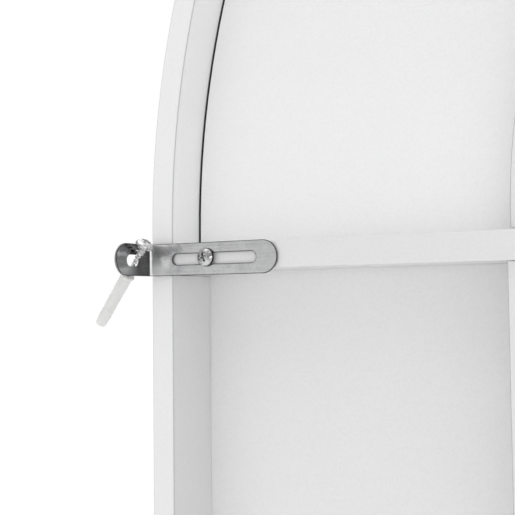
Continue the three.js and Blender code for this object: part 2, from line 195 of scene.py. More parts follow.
def loft(sections, odd_side=None):
    """A bmesh through rings of points, and the edges along it. The odd side has the third material."""
    bm = bmesh.new()
    rings = [[bm.verts.new(p) for p in ring] for ring in sections]
    count = len(rings[0])
    for near, far in zip(rings, rings[1:]):
        for i in range(count):
            k = (i + 1) % count
            face = bm.faces.new((near[i], near[k], far[k], far[i]))
            face.material_index = 2 if i == odd_side else 0
    bm.faces.new(rings[0])
    bm.faces.new(rings[-1][::-1])
    bmesh.ops.recalc_face_normals(bm, faces=bm.faces)
    along = [
        bm.edges.get((near[i], far[i]))
        for near, far in zip(rings, rings[1:])
        for i in range(count)
    ]
    return bm, along


def round_edges(bm, edges, radius, segments, material=-1):
    bmesh.ops.bevel(
        bm,
        geom=edges,
        offset=radius,
        offset_type="OFFSET",
        segments=segments,
        profile=0.5,
        affect="EDGES",
        clamp_overlap=True,
        material=material,
    )


def sharp_edges(bm, least):
    return [e for e in bm.edges if len(e.link_faces) == 2 and e.calc_face_angle(0) > math.radians(least)]


def board(name, sections, materials, long_arris=ARRIS, odd_side=None):
    """A board through its sections, with rounded long edges that show the edge band's seam."""
    bm, along = loft(sections, odd_side)
    round_edges(bm, along, long_arris, 4, material=min(1, len(materials) - 1))
    round_edges(bm, sharp_edges(bm, 60), END_ARRIS, 2)
    return new_object(name, mesh_from(bm, name), *materials)


def corner_ring(x, y, z):
    """Four corners of a block's section, which lies where x or z is a single number."""
    if not isinstance(z, tuple):
        return [(x[0], y[0], z), (x[1], y[0], z), (x[1], y[1], z), (x[0], y[1], z)]
    return [(x, y[0], z[0]), (x, y[1], z[0]), (x, y[1], z[1]), (x, y[0], z[1])]


def upright(name, low, high, materials, **options):
    x, y = (low.x, high.x), (low.y, high.y)
    return board(name, [corner_ring(x, y, low.z), corner_ring(x, y, high.z)], materials, **options)


def flat_board(name, low, high, materials):
    y, z = (low.y, high.y), (low.z, high.z)
    return board(name, [corner_ring(low.x, y, z), corner_ring(high.x, y, z)], materials)


def arch_sections(outer, inner, y, foot, end_angle, second_foot=False):
    """Sections of an arched band: up from its left foot, then round through end_angle degrees."""
    corners = ((outer, y[0]), (inner, y[0]), (inner, y[1]), (outer, y[1]))
    rings = []
    if foot < SPRING - 1e-6:
        rings.append([(-r, v, foot) for r, v in corners])
    steps = max(2, round(ARC_STEPS * end_angle / 90))
    for i in range(steps + 1):
        a = math.radians(180 - end_angle * i / steps)
        c, s = math.cos(a), math.sin(a)
        rings.append([(r * c, v, SPRING + r * s) for r, v in corners])
    if second_foot:
        rings.append([(r, v, foot) for r, v in corners])
    return rings


def rod_mesh(radius, start, end, sides=24):
    run = Vector(end) - Vector(start)
    turn = Vector((0, 0, 1)).rotation_difference(run).to_matrix().to_4x4()
    place = Matrix.Translation((Vector(start) + Vector(end)) / 2) @ turn
    bm = bmesh.new()
    ends = {"radius1": radius, "radius2": radius, "depth": run.length}
    bmesh.ops.create_cone(bm, cap_ends=True, segments=sides, matrix=place, **ends)
    return mesh_from(bm, "cutter")


def block_mesh(low, high):
    bm = bmesh.new()
    size = Vector(high) - Vector(low)
    place = Matrix.Translation((Vector(low) + Vector(high)) / 2) @ Matrix.Diagonal((*size, 1))
    bmesh.ops.create_cube(bm, size=1, matrix=place)
    return mesh_from(bm, "cutter")


def carve(obj, cutters):
    """Takes the cutters' meshes away from obj, one after another."""
    for mesh in cutters:
        tool = new_object("tool", mesh)
        cut = obj.modifiers.new("cut", "BOOLEAN")
        cut.operation = "DIFFERENCE"
        cut.solver = "EXACT"
        cut.object = tool
        freeze(obj)
        bpy.data.objects.remove(tool)
        bpy.data.meshes.remove(mesh)


def freeze(obj):
    graph = bpy.context.evaluated_depsgraph_get()
    final = bpy.data.meshes.new_from_object(obj.evaluated_get(graph))
    obj.modifiers.clear()
    old = obj.data
    obj.data = final
    bpy.data.meshes.remove(old)


def smooth(obj, crease=38):
    obj.data.shade_smooth()
    obj.data.set_sharp_from_angle(angle=math.radians(crease))
    weigh = obj.modifiers.new("weighted", "WEIGHTED_NORMAL")
    weigh.keep_sharp = True
    weigh.weight = 80


def mirror_mesh(mesh):
    copy = mesh.copy()
    copy.transform(Matrix.Diagonal((-1, 1, 1, 1)))
    copy.flip_normals()
    return copy


def dress(obj, slot, body, *nodes):
    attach(obj, body)
    if nodes:
        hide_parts(*nodes)


# ---------------------------------------------------------------- materials


class Nodes:
    """A material's node tree, built with short calls."""

    def __init__(self, name):
        self.material = bpy.data.materials.new(name)
        self.material.use_nodes = True
        self.tree = self.material.node_tree
        self.shader = self.tree.nodes["Principled BSDF"]
        self.place = self.add("ShaderNodeTexCoord").outputs["Object"]

    def add(self, kind, **settings):
        node = self.tree.nodes.new(kind)
        for key, value in settings.items():
            setattr(node, key, value)
        return node

    def link(self, source, target):
        self.tree.links.new(source, target)

    def stretch(self, scale):
        node = self.add("ShaderNodeMapping")
        node.inputs["Scale"].default_value = scale
        self.link(self.place, node.inputs["Vector"])
        return node.outputs["Vector"]

    def noise(self, scale, detail=3, roughness=0.5, distortion=0, vector=None):
        node = self.add("ShaderNodeTexNoise")
        self.link(vector or self.place, node.inputs["Vector"])
        node.inputs["Scale"].default_value = scale
        node.inputs["Detail"].default_value = detail
        node.inputs["Roughness"].default_value = roughness
        node.inputs["Distortion"].default_value = distortion
        return node.outputs["Fac"]

    def cells(self, scale):
        node = self.add("ShaderNodeTexVoronoi")
        self.link(self.place, node.inputs["Vector"])
        node.inputs["Scale"].default_value = scale
        return node.outputs["Distance"]

    def ramp(self, source, stops):
        node = self.add("ShaderNodeValToRGB")
        ramp = node.color_ramp
        while len(ramp.elements) < len(stops):
            ramp.elements.new(0.5)
        for element, (place, colour) in zip(ramp.elements, stops):
            element.position = place
            element.color = (*colour, 1) if isinstance(colour, tuple) else (colour, colour, colour, 1)
        self.link(source, node.inputs["Fac"])
        return node.outputs["Color"]

    def blend(self, kind, amount, first, second):
        node = self.add("ShaderNodeMix", data_type="RGBA", blend_type=kind)
        for value, key in ((amount, 0), (first, 6), (second, 7)):
            if isinstance(value, (int, float)):
                node.inputs[key].default_value = value
            elif isinstance(value, tuple):
                node.inputs[key].default_value = (*value, 1)
            else:
                self.link(value, node.inputs[key])
        return node.outputs[2]

    def axis(self, letter):
        node = self.add("ShaderNodeSeparateXYZ")
        self.link(self.place, node.inputs[0])
        return node.outputs[letter]

    def across(self, source, low, high):
        """0 where source is at low, 1 where it is at high, and a straight change between."""
        node = self.add("ShaderNodeMapRange")
        node.inputs["From Min"].default_value = low
        node.inputs["From Max"].default_value = high
        self.link(source, node.inputs["Value"])
        return node.outputs["Result"]

    def bump(self, height, distance, strength=1, before=None):
        node = self.add("ShaderNodeBump")
        node.inputs["Strength"].default_value = strength
        node.inputs["Distance"].default_value = distance
        self.link(height, node.inputs["Height"])
        if before:
            self.link(before, node.inputs["Normal"])
        return node.outputs["Normal"]

    def set(self, **values):
        for key, value in values.items():
            socket = self.shader.inputs[key.replace("_", " ")]
            if isinstance(value, bpy.types.NodeSocket):
                self.link(value, socket)
            else:
                socket.default_value = value
        return self.material


def lacquer(name, tone, rough=BOARD_ROUGH, shade=None):
    """Sprayed white lacquer: faint drift in tone, fine orange peel, and thin dull patches from handling."""
    n = Nodes(name)
    light, dark = (tone, tone, tone * 0.998), (tone * 0.97, tone * 0.97, tone * 0.972)
    drift = n.ramp(n.noise(7, 4, 0.6), [(0.3, dark), (0.7, light)])
    specks = n.ramp(n.noise(900, 2), [(0.35, 0.97), (0.55, 1.0)])
    colour = n.blend("MULTIPLY", 1.0, drift, specks)
    if shade:
        colour = n.blend("MULTIPLY", 1.0, colour, shade(n))
    handled = n.ramp(n.noise(38, 5, 0.65), [(0.3, rough[0]), (0.75, rough[1])])
    peel = n.bump(n.noise(420, 3, 0.55), 0.000035, 0.8)
    grit = n.bump(n.noise(2600, 2), 0.000012, 0.8, before=peel)
    return n.set(Base_Color=colour, Roughness=handled, Normal=grit)


def painted_light_above_rail(n):
    """Painted light: a touch lighter just above the cross rail, where light off the rail's top falls."""
    height = n.across(n.axis("Z"), RAIL_TOP, RAIL_TOP + PANEL_PAINTED_LIGHT_FADE)
    return n.ramp(height, [(0.0, 1.0), (0.35, 0.965), (1.0, 0.93)])


def painted_light_and_gap_shade(n):
    """The arch's inner face: painted light, a touch lighter at its foot above the cross rail, and painted
    shade, nearly black, in the gap where the ring panel covers it.
    """
    # Painted light at the foot.
    foot = n.ramp(n.across(n.axis("Z"), RAIL_TOP, RAIL_TOP + ARCH_PAINTED_LIGHT_FADE), [(0.0, 1.0), (1.0, 0.95)])
    depth = n.across(n.axis("Y"), 0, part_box("arch_left")[1].y)
    # Painted shade: nearly black across the depth of the ring panel's gap, only above the cross rail.
    gap_shade = n.ramp(depth, [(0.09, 1.0), (0.105, 0.08), (0.69, 0.08), (0.71, 1.0)])
    above_rail = n.ramp(n.across(n.axis("Z"), RAIL_TOP - BOARD, RAIL_TOP), [(0.4, 0.0), (0.6, 1.0)])
    gap_shade_above_rail = n.blend("MIX", above_rail, (1.0, 1.0, 1.0), gap_shade)
    return n.blend("MULTIPLY", 1.0, foot, gap_shade_above_rail)


def zinc_plate():
    """Bright zinc on rolled steel: fine rolling lines, cloudy patches and pits, duller by the bend, with a
    painted highlight along the bend, painted light near the bend and on the lower half, and a painted dark
    reflection on the short leg.
    """
    n = Nodes("zinc_plate")
    low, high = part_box("bracket_left")
    lines = n.noise(260, 4, 0.6, vector=n.stretch((0.16, 1.0, 6.0)))
    cloud = n.noise(170, 5, 0.62, 0.6)
    pits = n.ramp(n.cells(620), [(0.02, 0.72), (0.16, 1.0)])
    zinc = [(0.3, (0.52, 0.523, 0.527)), (0.5, (0.57, 0.573, 0.577)), (0.72, (0.62, 0.624, 0.628))]
    base = n.ramp(cloud, zinc)
    streaked = n.blend("MULTIPLY", 0.75, base, n.ramp(lines, [(0.3, 0.85), (0.65, 1.0)]))
    pitted = n.blend("MULTIPLY", 0.6, streaked, pits)
    bend = from_bend(n)
    # Painted highlight: a light line along the bend, which is also duller there.
    bend_dullness_and_highlight = n.ramp(bend, BEND_DULLNESS_AND_HIGHLIGHT)
    # Painted light: the long leg lighter near the bend, and rougher there too.
    near_bend_light_and_dullness = n.ramp(bend, NEAR_BEND_PAINTED_LIGHT_AND_DULLNESS)
    painted_light_near_bend = n.blend("MIX", near_bend_light_and_dullness, pitted, (0.9, 0.904, 0.908))
    bend_highlight = n.blend("MIX", bend_dullness_and_highlight, painted_light_near_bend, (0.84, 0.845, 0.85))
    # Painted reflection: the short leg nearly black, lighter towards its tip, standing in for the dark it
    # mirrors.
    short = n.ramp(n.across(n.axis("Y"), low.y, -BEND_LINE[1] - 0.5 * MM), SHORT_LEG_PAINTED_REFLECTION)
    colour = n.blend("MULTIPLY", 1.0, bend_highlight, short)
    rough = n.ramp(n.noise(240, 4, 0.7, 0.4), [(0.3, 0.1), (0.7, 0.24)])
    rougher = n.blend("MIX", near_bend_light_and_dullness, rough, (0.2, 0.2, 0.2))
    roughest = n.blend("MIX", bend_dullness_and_highlight, rougher, (0.38, 0.38, 0.38))
    rolled = n.bump(lines, 0.000012, 0.7)
    dents = n.bump(cloud, 0.00003, 0.5, before=rolled)
    # Painted light: the lower half less metallic and so lighter, most near the bend.
    lower = n.ramp(n.across(n.axis("Z"), high.z, low.z), LOWER_HALF_PAINTED_LIGHT)
    metal = n.ramp(n.blend("MULTIPLY", 1.0, near_bend_light_and_dullness, lower), [(0.0, 1.0), (1.0, 0.38)])
    return n.set(Base_Color=colour, Metallic=metal, Roughness=roughest, Normal=dents)


def from_bend(n):
    """How far a place on the bracket is from the upright line of its bend: 0 at the line, 1 at BEND_REACH."""
    positive = n.add("ShaderNodeVectorMath", operation="ABSOLUTE")
    n.link(n.place, positive.inputs[0])
    from_line = n.add("ShaderNodeVectorMath", operation="SUBTRACT")
    from_line.inputs[1].default_value = (BEND_LINE[0], BEND_LINE[1], 0)
    n.link(positive.outputs[0], from_line.inputs[0])
    flattened = n.add("ShaderNodeVectorMath", operation="MULTIPLY")
    flattened.inputs[1].default_value = (1, 1, 0)
    n.link(from_line.outputs[0], flattened.inputs[0])
    reach = n.add("ShaderNodeVectorMath", operation="LENGTH")
    n.link(flattened.outputs[0], reach.inputs[0])
    return n.across(reach.outputs["Value"], 0, BEND_REACH)


def sheared_steel(name, dark, light):
    """The plate's stamped edges: rougher than its faces, torn in fine lines across."""
    n = Nodes(name)
    torn = n.noise(900, 4, 0.6, vector=n.stretch((1.0, 0.3, 1.0)))
    colour = n.ramp(torn, [(0.3, (dark, dark, dark * 1.02)), (0.7, (light, light, light * 1.02))])
    rough = n.ramp(n.noise(700, 3), [(0.3, 0.35), (0.7, 0.6)])
    return n.set(Base_Color=colour, Metallic=1.0, Roughness=rough, Normal=n.bump(torn, 0.00005, 0.8))


def screw_steel(name, dark, light):
    """Bright plated screw steel with faint turning marks and darker flecks."""
    n = Nodes(name)
    flecks = n.noise(700, 4, 0.7)
    colour = n.ramp(flecks, [(0.3, (dark, dark, dark * 1.01)), (0.55, (light, light, light * 1.01))])
    rough = n.ramp(n.noise(500, 3), [(0.3, 0.08), (0.7, 0.22)])
    marks = n.bump(n.noise(1500, 2), 0.000018, 0.6)
    return n.set(Base_Color=colour, Metallic=1.0, Roughness=rough, Normal=marks)


def nylon(name, colour, rough):
    """Moulded plastic that lets a little light in: cloudy, with a fine spark-eroded skin."""
    n = Nodes(name)
    cloud = n.ramp(n.noise(150, 3), [(0.3, tuple(0.93 * c for c in colour)), (0.7, colour)])
    skin = n.bump(n.noise(1700, 3), 0.00002, 0.7)
    sheen = n.ramp(n.noise(300, 3), [(0.3, rough[0]), (0.7, rough[1])])
    n.shader.inputs["Subsurface Radius"].default_value = (0.0016, 0.0015, 0.0013)
    return n.set(Base_Color=cloud, Roughness=sheen, Normal=skin, Subsurface_Weight=0.35, Subsurface_Scale=1.0)


def beech():
    """Pale beech: long grain with short dark flecks."""
    n = Nodes("beech")
    grain = n.noise(180, 5, 0.6, 0.3, vector=n.stretch((0.15, 1.0, 1.0)))
    flecks = n.ramp(n.noise(900, 2), [(0.32, 0.7), (0.5, 1.0)])
    wood = n.ramp(grain, [(0.3, (0.47, 0.31, 0.17)), (0.7, (0.68, 0.49, 0.29))])
    flecked = n.blend("MULTIPLY", 0.6, wood, flecks)
    return n.set(Base_Color=flecked, Roughness=0.72, Normal=n.bump(grain, 0.0001, 0.6))


def raw_edge_painted_shade():
    """The panel's unlacquered edge, down in its shadow gap, painted nearly black as the gap's shade."""
    n = Nodes("raw_edge_painted_shade")
    fibre = n.noise(700, 4, 0.6)
    colour = n.ramp(fibre, [(0.3, (0.05, 0.047, 0.043)), (0.7, (0.1, 0.094, 0.086))])
    return n.set(Base_Color=colour, Roughness=0.9, Normal=n.bump(fibre, 0.0001, 0.7))


def pale_floor():
    n = Nodes("pale_floor")
    colour = n.ramp(n.noise(3, 4), [(0.3, 0.95), (0.7, 0.97)])
    return n.set(Base_Color=colour, Roughness=0.85, Normal=n.bump(n.noise(160, 3), 0.0002, 0.4))


# ---------------------------------------------------------------- frame


def dowel_bore(node):
    """A bore a little wider and longer than a dowel: along its longest side, or radial for a ring dowel."""
    low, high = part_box(node)
    centre, size = (low + high) / 2, high - low
    if node.startswith("ring_dowel"):
        axis = Vector((centre.x, 0, centre.z - SPRING)).normalized()
        half = DOWEL_HALF
    else:
        longest = max(range(3), key=lambda k: size[k])
        axis = Vector([1.0 if k == longest else 0.0 for k in range(3)])
        half = size[longest] / 2
    reach = axis * (half + 2 * BORE_SLACK)
    return rod_mesh(DOWEL_RADIUS + BORE_SLACK, centre - reach, centre + reach)


def confirmat_bores(node):
    """The two bores of a confirmat screw: one for its head and a narrower one for its shank."""
    low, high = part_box(node)
    side = -1 if low.x < 0 else 1
    outer, inner = (low.x, high.x) if side < 0 else (high.x, low.x)
    y, z = (low.y + high.y) / 2, (low.z + high.z) / 2
    head = (high.z - low.z) / 2 + BORE_SLACK
    neck = outer - side * CONFIRMAT_BORE["head_length"]
    mouth = outer + side * CONFIRMAT_BORE["overrun"]
    overlap = side * CONFIRMAT_BORE["overlap"]
    shank = CONFIRMAT_BORE["radius"]
    return [
        rod_mesh(head, (mouth, y, z), (neck, y, z)),
        rod_mesh(shank, (neck + overlap, y, z), (inner - overlap, y, z)),
    ]


def groove_for(panel):
    low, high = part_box(panel)
    slack = Vector((GROOVE_SLACK,) * 3)
    return block_mesh(low - slack, high + slack)


def own(side, *fixings):
    """The bores of one side's dowels and confirmats."""
    found = []
    for fixing in fixings:
        node = f"{fixing}_{side}"
        found += confirmat_bores(node) if "confirmat" in fixing else [dowel_bore(node)]
    return found


def bores(*fixings):
    """The bores of both sides' dowels and confirmats."""
    return [bore for fixing in fixings for side in ("left", "right") for bore in own(side, fixing)]


def build_rails(materials):
    for name, dowels in (
        ("cross_rail", ("rail_dowel", "rail_confirmat", "mullion_top_dowel", "arch_foot_dowel")),
        ("bottom_rail", ("base_dowel", "base_confirmat", "mullion_foot_dowel")),
    ):
        rail = flat_board(f"{name}_board", *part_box(name), materials)
        grooves = [groove_for(p) for p in ("side_panel_left", "centre_panel_lower", "side_panel_right")]
        carve(rail, grooves + bores(*dowels))
        if name == "cross_rail":
            carve(rail, [pilot_bore(side) for side in ("left", "right")])
        smooth(rail)
        dress(rail, "white_board", "frame", name)


def pilot_bore(side):
    """The hole that the slot screw is driven into."""
    low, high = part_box(f"slot_screw_{side}")
    x, z = (low.x + high.x) / 2, (low.z + high.z) / 2
    return rod_mesh(PILOT_RADIUS, (x, low.y, z), (x, high.y + MM, z))


def build_uprights(outer_materials, inner_materials):
    for side, inward in STILE_INNER_SIDE.items():
        stile = upright(f"stile_{side}_board", *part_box(f"stile_{side}"), outer_materials, odd_side=inward)
        fixings = own(side, "stile_dowel", "base_dowel", "base_confirmat")
        carve(stile, [groove_for(f"side_panel_{side}"), *fixings])
        smooth(stile)
        dress(stile, "white_board", "frame", f"stile_{side}")
        mullion = upright(f"mullion_{side}_board", *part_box(f"mullion_{side}"), inner_materials)
        grooves = [groove_for(f"side_panel_{side}"), groove_for("centre_panel_lower")]
        carve(mullion, grooves + own(side, "mullion_top_dowel", "mullion_foot_dowel"))
        smooth(mullion)
        dress(mullion, "white_board", "frame", f"mullion_{side}")


def mirrored_pair(name, suffix, left, slot, body="frame"):
    """The left piece as it is, and its mirror image for the right."""
    right = new_object(f"{name}_right_{suffix}", mirror_mesh(left.data))
    for side, obj in (("left", left), ("right", right)):
        smooth(obj)
        ride_on = body if body == "frame" else f"{body}_{side}"
        dress(obj, slot, ride_on, f"{name}_{side}")


def build_arches(outer_materials, inner_materials, panel_materials):
    low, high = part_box("arch_left")
    crown = math.degrees(-high.x / -low.x)
    sections = arch_sections(-low.x, -low.x - BOARD, (low.y, high.y), low.z, 90 - crown)
    arch = board("arch_left_board", sections, outer_materials, odd_side=INNER_SIDE)
    ring_dowels = ("ring_dowel_1", "ring_dowel_2", "ring_dowel_3")
    cuts = own("left", "stile_dowel", "rail_dowel", "rail_confirmat", *ring_dowels)
    carve(arch, [groove_for("side_panel_left"), *cuts, dowel_bore("crown_dowel")])
    mirrored_pair("arch", "board", arch, "white_board")

    low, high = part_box("ring_panel_left")
    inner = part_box("inner_arch")[1].x + INNER_ARCH_GAP
    sections = arch_sections(-low.x, inner, (low.y, high.y), low.z, 90 - crown)
    edges = {"long_arris": PANEL_ARRIS, "odd_side": OUTER_SIDE}
    panel = board("ring_panel_left_board", sections, panel_materials, **edges)
    carve(panel, own("left", *ring_dowels))
    mirrored_pair("ring_panel", "board", panel, "white_panel")

    low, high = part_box("inner_arch")
    sections = arch_sections(high.x, high.x - BOARD, (low.y, high.y), low.z, 180, second_foot=True)
    inner_arch = board("inner_arch_board", sections, inner_materials)
    carve(inner_arch, bores("arch_foot_dowel"))
    smooth(inner_arch)
    dress(inner_arch, "white_board", "frame", "inner_arch")


def build_panels(upper_material, lower_material):
    low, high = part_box("centre_panel_upper")
    rings = []
    for y in (low.y, high.y):
        arc = [math.pi * i / (2 * ARC_STEPS) for i in range(2 * ARC_STEPS + 1)]
        ring = [(high.x * math.cos(a), y, SPRING + high.x * math.sin(a)) for a in arc]
        rings.append([*ring, (low.x, y, low.z), (high.x, y, low.z)])
    bm, _ = loft(rings)
    round_edges(bm, sharp_edges(bm, 60), PANEL_ARRIS, 2)
    upper = new_object("centre_panel_upper_board", mesh_from(bm, "centre_panel_upper"), upper_material)
    smooth(upper)
    dress(upper, "white_panel", "frame", "centre_panel_upper")
    for name in ("side_panel_left", "centre_panel_lower", "side_panel_right"):
        panel = upright(f"{name}_sheet", *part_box(name), [lower_material], long_arris=PANEL_ARRIS)
        smooth(panel)
        dress(panel, "white_panel", "frame", name)


# ---------------------------------------------------------------- bracket


def half_round(centre, rise, radius, start):
    """A slot's round end, from the angle start and half a turn on."""
    angles = [math.radians(start + 180 * i / ROUND_STEPS) for i in range(ROUND_STEPS + 1)]
    return [(centre + radius * math.cos(a), rise + radius * math.sin(a)) for a in angles]


def slot_outline(first, last, radius, rise=0):
    """Round ends about the centres first and last, and straight sides between them."""
    return half_round(last, rise, radius, -90) + half_round(first, rise, radius, 90)


def plate_outlines(long_leg, short_end, half_width):
    """Outline, slot and wall hole of the flat plate, along s and across it. The bend starts at s = 0."""
    outline = slot_outline(short_end + half_width, long_leg - half_width, half_width)
    r = SLOT["radius"]
    first, last = SLOT["start"] - BEND_RADIUS - PLATE + r, SLOT["end"] - BEND_RADIUS - PLATE - r
    slot = slot_outline(first, last, r)
    r, spread = WALL_HOLE["radius"], WALL_HOLE["half_length"] - WALL_HOLE["radius"]
    centre = short_end + WALL_HOLE["from_tip"]
    hole = slot_outline(centre - spread, centre + spread, r, -WALL_HOLE["drop"])
    return outline, slot, hole


def bend_point(s, across, out, corner):
    """Where a point of the flat plate goes when it is bent. out is its height above the middle, inwards."""
    middle = BEND_RADIUS + PLATE / 2
    bend = middle * math.pi / 2
    reach = middle - out
    if s >= 0:
        return Vector((corner.x + s, corner.y + reach, across))
    if s > -bend:
        turn = -s / middle
        return Vector((corner.x - reach * math.sin(turn), corner.y + reach * math.cos(turn), across))
    return Vector((corner.x - reach, corner.y + s + bend, across))


def flat_plate(outlines, bend):
    """The plate before it is bent: stamped out, cut across where it will bend, and thickened."""
    bm = bmesh.new()
    for outline in outlines:
        verts = [bm.verts.new((s, a, 0)) for s, a in outline]
        for i in range(len(verts)):
            bm.edges.new((verts[i - 1], verts[i]))
    bmesh.ops.remove_doubles(bm, verts=bm.verts, dist=1e-7)
    bmesh.ops.triangle_fill(bm, edges=bm.edges[:], use_beauty=True)
    for i in range(BEND_STEPS + 1):
        whole = bm.verts[:] + bm.edges[:] + bm.faces[:]
        place = (-bend * i / BEND_STEPS, 0, 0)
        bmesh.ops.bisect_plane(bm, geom=whole, plane_co=place, plane_no=(1, 0, 0), dist=1e-7)
    grown = bmesh.ops.extrude_face_region(bm, geom=bm.faces[:])["geom"]
    for v in (g for g in grown if isinstance(g, bmesh.types.BMVert)):
        v.co.z += PLATE
    bmesh.ops.recalc_face_normals(bm, faces=bm.faces)
    return bm


def build_bracket(*materials):
    """The plate, from materials for its faces, its sheared edges and its arrises, the arrises nearly black as
    painted shade.
    """
    low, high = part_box("bracket_left")
    half_width, centre_z = (high.z - low.z) / 2, (high.z + low.z) / 2
    corner = Vector((low.x + PLATE + BEND_RADIUS, high.y - PLATE - BEND_RADIUS, 0))
    bend = (BEND_RADIUS + PLATE / 2) * math.pi / 2
    long_leg = high.x - corner.x
    short_end = -bend - (corner.y - low.y)
    bm = flat_plate(plate_outlines(long_leg, short_end, half_width), bend)
    for face in bm.faces:
        face.material_index = 0 if abs(face.normal.z) > 0.5 else 1
    round_edges(bm, sharp_edges(bm, 60), PLATE_ARRIS, 3, material=2)
    for v in bm.verts:
        v.co = bend_point(v.co.x, v.co.y + centre_z, v.co.z - PLATE / 2, corner)
    bracket = new_object("bracket_left_plate", mesh_from(bm, "bracket_left"), *materials)
    mirrored_pair("bracket", "plate", bracket, "bracket_steel", body="bracket")


# ---------------------------------------------------------------- screws, plugs and caps


def aim(seat, direction):
    """The matrix that takes a turned piece, drawn along -Z from the origin, to its place."""
    turn = Vector((0, 0, -1)).rotation_difference(Vector(direction)).to_matrix().to_4x4()
    return Matrix.Translation(seat) @ turn


def head_rows(core):
    """Rows of a screw's head from its top to the shank under it: height, radius and thread depth."""
    rows = []
    for i in range(1, DOME_STEPS + 1):
        a = i / DOME_STEPS * math.pi / 2
        rows.append((HEAD_BRIM + (HEAD_HEIGHT - HEAD_BRIM) * math.cos(a), HEAD_RADIUS * math.sin(a), 0))
    rows += [(HEAD_LIP, HEAD_RADIUS, 0), (0.05 * MM, HEAD_RADIUS - 0.06 * MM, 0)]
    rows += [(0.0, HEAD_RADIUS - HEAD_LIP, 0), (0.0, core + 0.5 * MM, 0)]
    rows += [(-0.12 * MM, core + 0.15 * MM, 0), (-0.5 * MM, core, 0)]
    return rows


def thread_rows(core, thread):
    """Rows of a screw's thread from under its head to its point: height, core radius and thread depth."""
    rows = []
    along = 0.8 * MM
    length = thread["length"]
    point = length - POINT_LENGTH
    while along < length - 0.5 * MM:
        taper = 1 if along < point else (length - along) / (length - point)
        drop = thread["fall"] * max(0, along - thread["straight"])
        radius = max(core - drop, thread["thinnest"]) * taper
        run_in = min(1, (along - 0.6 * MM) / MM)
        depth = thread["depth"] * run_in * (0.35 + 0.65 * taper)
        rows.append((-along, max(radius, 0.12 * MM), depth))
        along += thread["pitch"] / THREAD_ROWS
    return rows


def ridge(share):
    """The thread's height at a share of one turn: a narrow sloped crest on a flat root."""
    away = abs(2 * share - 1)
    return max(0.0, 1 - away / 0.5)


def build_screw_mesh(name, thread):
    bm = bmesh.new()
    top = bm.verts.new((0, 0, HEAD_HEIGHT))
    tip = bm.verts.new((0, 0, -thread["length"]))
    rings = []
    core = thread["outer"] - thread["depth"]
    for z, radius, depth in head_rows(core) + thread_rows(core, thread):
        ring = []
        for k in range(SCREW_SIDES):
            a = 2 * math.pi * k / SCREW_SIDES
            share = (-z / thread["pitch"] + k / SCREW_SIDES) % 1.0
            r = radius + depth * ridge(share)
            ring.append(bm.verts.new((r * math.cos(a), r * math.sin(a), z)))
        rings.append(ring)
    for k in range(SCREW_SIDES):
        m = (k + 1) % SCREW_SIDES
        bm.faces.new((top, rings[0][k], rings[0][m]))
        bm.faces.new((tip, rings[-1][m], rings[-1][k]))
        for near, far in zip(rings, rings[1:]):
            bm.faces.new((near[k], far[k], far[m], near[m]))
    return mesh_from(bm, name)


def recess_wing(along_x):
    """One arm of the cross recess: wide at the head's top, narrower at its floor."""
    top, floor = HEAD_HEIGHT + MM, HEAD_HEIGHT - RECESS["depth"]
    grow = 1 + MM / RECESS["depth"]
    reach = RECESS["floor_reach"] + (RECESS["reach"] - RECESS["floor_reach"]) * grow
    width = RECESS["floor_half_width"] + (RECESS["half_width"] - RECESS["floor_half_width"]) * grow
    rings = []
    for z, a, b in ((floor, RECESS["floor_reach"], RECESS["floor_half_width"]), (top, reach, width)):
        ring = [(-a, -b, z), (a, -b, z), (a, b, z), (-a, b, z)]
        rings.append(ring if along_x else [(-y, x, h) for x, y, h in ring])
    bm, _ = loft(rings)
    return mesh_from(bm, "cutter")


def mark_screw_faces(mesh):
    """Second material for the head's brim, third for the recess, the shank and the thread."""
    for face in mesh.polygons:
        reach, height = face.center.xy.length, face.center.z
        dome = HEAD_BRIM + (HEAD_HEIGHT - HEAD_BRIM) * math.sqrt(max(0, 1 - (reach / HEAD_RADIUS) ** 2))
        in_recess = reach < RECESS["reach"] and height < dome - 0.12 * MM
        if height < -0.05 * MM or in_recess:
            face.material_index = 2
        elif reach > BRIM_BEGINS * HEAD_RADIUS:
            face.material_index = 1


def build_screw(name, thread, seat, direction, turn, materials):
    obj = new_object(f"{name}_threaded", build_screw_mesh(name, thread), *materials)
    floor, above = HEAD_HEIGHT - RECESS["depth"], HEAD_HEIGHT + MM
    hub = rod_mesh(RECESS_HUB, (0, 0, floor), (0, 0, above), 20)
    carve(obj, [recess_wing(True), recess_wing(False), hub])
    mark_screw_faces(obj.data)
    obj.data.transform(aim(seat, direction) @ Matrix.Rotation(math.radians(turn), 4, "Z"))
    smooth(obj, 50)
    dress(obj, "screw_steel", name, name)


def lathe(name, profile):
    """A closed ring of (radius, height) points turned about Z."""
    bm = bmesh.new()
    rings = []
    for k in range(TURNED_SIDES):
        a = 2 * math.pi * k / TURNED_SIDES
        rings.append([bm.verts.new((r * math.cos(a), r * math.sin(a), z)) for r, z in profile])
    for k in range(TURNED_SIDES):
        near, far = rings[k], rings[(k + 1) % TURNED_SIDES]
        for i in range(len(profile)):
            m = (i + 1) % len(profile)
            bm.faces.new((near[i], near[m], far[m], far[i]))
    return mesh_from(bm, name)


